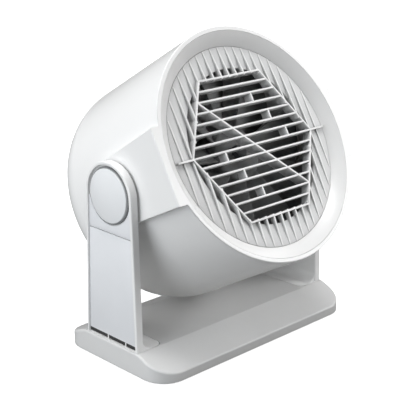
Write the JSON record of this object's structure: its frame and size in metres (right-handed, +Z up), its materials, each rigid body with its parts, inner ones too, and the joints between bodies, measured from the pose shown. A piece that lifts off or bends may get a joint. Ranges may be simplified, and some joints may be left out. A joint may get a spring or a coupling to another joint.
{
  "type": "desk fan",
  "caption": "Tilting desk fan: round drum head with dished bezel and hexagonal slatted grille, hung between two arched legs on a low sloped base, with side tilt knobs and a rear speed dial.",
  "frame": {"origin": "centre of the anti-slip pad's underside, on the surface the fan stands on, midway between the legs and under the tilt axis", "axes": "+Z up; X from leg to leg, with the left knob at -X as seen from in front of the base's -Y edge looking along +Y; the fan blows towards -Y and, in the stored pose, 30 degrees upwards"},
  "size_m": [0.2302, 0.2234, 0.2648],
  "materials": {
    "white_shell": "satin injection moulded, very fine grain",
    "cool_white_cover": "fine matt moulded grain",
    "grille_white": "satin injection moulded",
    "grey_plastic": "matt moulded",
    "charcoal_plastic": "matt moulded",
    "black_rubber": "fine ribbed matt",
    "bright_steel": "plated",
    "zinc_steel": "galvanised sheet",
    "core_steel": "laminated",
    "copper_wire": "enamelled copper",
    "bush_nylon": "waxy natural nylon",
    "board_green": "solder mask"
  },
  "bodies": {
    "base": {"base_shell": "white_shell", "base_plate": "grey_plastic", "base_ballast": "zinc_steel", "ballast_screws": "bright_steel", "base_screws": "bright_steel", "anti_slip_pad": "black_rubber", "power_socket": "bright_steel", "inlet_board": "board_green", "leg_frame_left": "white_shell", "leg_frame_right": "white_shell", "leg_cover_upper_left": "cool_white_cover", "leg_cover_upper_right": "cool_white_cover", "leg_cover_lower_left": "cool_white_cover", "leg_cover_lower_right": "cool_white_cover", "leg_slot_strip_left": "black_rubber", "leg_slot_strip_right": "black_rubber", "leg_screws_left": "bright_steel", "leg_screws_right": "bright_steel", "pivot_bush_left": "bush_nylon", "pivot_bush_right": "bush_nylon", "friction_washer_left": "bush_nylon", "friction_washer_right": "bush_nylon"},
    "head": {"drum_shell": "white_shell", "front_bezel": "white_shell", "bezel_screws": "bright_steel", "front_grille": "grille_white", "rear_grille": "grille_white", "rear_grille_screws": "bright_steel", "speed_switch": "grey_plastic", "motor_can": "zinc_steel", "motor_front_cap": "zinc_steel", "front_bearing": "bright_steel", "rear_bearing": "bright_steel", "stator_core": "core_steel", "stator_windings": "copper_wire", "motor_mount": "zinc_steel", "mount_grommets": "black_rubber", "mount_screws": "bright_steel", "motor_screws": "bright_steel", "trunnion_left": "bush_nylon", "trunnion_right": "bush_nylon", "trunnion_screws_left": "bright_steel", "trunnion_screws_right": "bright_steel", "clamp_nut_left": "bright_steel", "clamp_nut_right": "bright_steel"},
    "rotor": {"rotor_core": "core_steel", "motor_shaft": "bright_steel", "impeller": "charcoal_plastic", "impeller_nut": "bright_steel"},
    "speed_control": {"speed_shaft": "zinc_steel", "speed_knob": "white_shell"},
    "knob_left": {"tilt_knob_left": "white_shell", "knob_ring_left": "grey_plastic", "clamp_bolt_left": "bright_steel"},
    "knob_right": {"tilt_knob_right": "white_shell", "knob_ring_right": "grey_plastic", "clamp_bolt_right": "bright_steel"}
  },
  "joints": [
    {"name": "head_tilt", "type": "hinge", "parent": "base", "child": "head", "pos_m": [0, 0, 0.1446], "axis": [-1, 0, 0], "range_deg": [-30, 60]},
    {"name": "impeller_spin", "type": "hinge", "parent": "head", "child": "rotor", "pos_m": [0, 0.0007, 0.14581], "axis": [0, -0.866, 0.5], "continuous": true},
    {"name": "speed_turn", "type": "hinge", "parent": "head", "child": "speed_control", "pos_m": [0, 0.0007, 0.14581], "axis": [0, -0.866, 0.5], "range_deg": [0, 270]},
    {"name": "left_knob_turn", "type": "hinge", "parent": "base", "child": "knob_left", "pos_m": [-0.11, 0, 0.1446], "axis": [-1, 0, 0], "range_deg": [0, 180]},
    {"name": "right_knob_turn", "type": "hinge", "parent": "base", "child": "knob_right", "pos_m": [0.11, 0, 0.1446], "axis": [1, 0, 0], "range_deg": [0, 180]}
  ]
}
